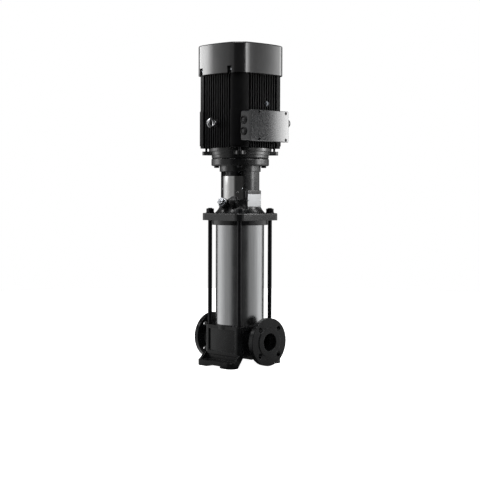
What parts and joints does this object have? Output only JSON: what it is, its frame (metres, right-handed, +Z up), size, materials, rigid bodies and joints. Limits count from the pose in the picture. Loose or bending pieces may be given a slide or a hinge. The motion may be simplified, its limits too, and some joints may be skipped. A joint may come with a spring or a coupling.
{
  "type": "vertical multistage pump",
  "caption": "Vertical in-line multistage centrifugal pump: flanged base, stainless sleeve between staybolts, motor stool, finned motor with terminal box.",
  "frame": {"origin": "centre of the foundation bolt pattern at floor level, on the pump axis", "axes": "+Z up along the shaft, +X out of the discharge port along the line of flow"},
  "size_m": [0.3095, 0.2775, 1.113],
  "materials": {
    "black_cast_iron": "glossy black paint on cast iron",
    "black_motor_paint": "glossy black paint on aluminium",
    "black_cover_paint": "glossy black paint on steel sheet",
    "dark_box_paint": "glossy dark grey paint",
    "stainless_sleeve": "brushed stainless steel",
    "stainless_sheet": "polished stainless sheet",
    "stainless_wet_parts": "pressed stainless steel",
    "black_fasteners": "black oxide steel",
    "bright_fasteners": "bright steel",
    "bright_steel": "machined bright steel",
    "bare_plate": "satin aluminium",
    "black_plastic": "moulded plastic",
    "rubber_seals": "black elastomer",
    "seal_faces": "seal cartridge",
    "core_steel": "laminated steel",
    "copper_winding": "varnished copper"
  },
  "bodies": {
    "pump_frame": {"base_casting": "black_cast_iron", "cable_entry_plugs": "black_plastic", "discharge_guide": "stainless_wet_parts", "drain_plug": "bright_fasteners", "drive_end_bearing": "bright_steel", "drive_end_shield": "black_motor_paint", "earth_terminal": "bright_steel", "fan_cover": "black_cover_paint", "fan_cover_screws": "bright_fasteners", "front_coupling_guard": "stainless_sheet", "guard_screws": "bright_fasteners", "inlet_guide": "stainless_wet_parts", "lid_screws": "bright_fasteners", "lifting_eye": "bright_steel", "motor_flange_bolts": "black_fasteners", "motor_tie_bolts": "black_fasteners", "nameplate": "bare_plate", "nameplate_rivets": "bright_fasteners", "outer_sleeve": "stainless_sleeve", "priming_plug": "black_plastic", "pump_head": "black_cast_iron", "rear_bearing": "bright_steel", "rear_coupling_guard": "stainless_sheet", "rear_end_shield": "black_motor_paint", "seal_seat": "seal_faces", "sleeve_gaskets": "rubber_seals", "stage_chamber_1": "stainless_wet_parts", "stage_chamber_2": "stainless_wet_parts", "stage_chamber_3": "stainless_wet_parts", "stage_chamber_4": "stainless_wet_parts", "stage_chamber_5": "stainless_wet_parts", "stage_chamber_6": "stainless_wet_parts", "stage_chamber_7": "stainless_wet_parts", "stage_chamber_8": "stainless_wet_parts", "stator_core": "core_steel", "stator_housing": "black_motor_paint", "stator_windings": "copper_winding", "staybolt_nuts": "black_fasteners", "staybolts": "black_fasteners", "terminal_block": "black_plastic", "terminal_box": "dark_box_paint", "terminal_gasket": "rubber_seals", "terminal_lid": "dark_box_paint", "vent_plug": "bright_fasteners"},
    "rotating_assembly": {"pump_shaft": "stainless_wet_parts", "impeller_1": "stainless_wet_parts", "impeller_2": "stainless_wet_parts", "impeller_3": "stainless_wet_parts", "impeller_4": "stainless_wet_parts", "impeller_5": "stainless_wet_parts", "impeller_6": "stainless_wet_parts", "impeller_7": "stainless_wet_parts", "impeller_8": "stainless_wet_parts", "seal_ring": "seal_faces", "coupling_half_right": "bright_steel", "coupling_half_left": "bright_steel", "coupling_screws": "bright_fasteners", "motor_shaft": "bright_steel", "rotor_core": "core_steel", "cooling_fan": "black_plastic"}
  },
  "joints": [
    {"name": "shaft_rotation", "type": "hinge", "parent": "pump_frame", "child": "rotating_assembly", "pos_m": [0, 0, 0.64], "axis": [0, 0, 1], "continuous": true}
  ]
}
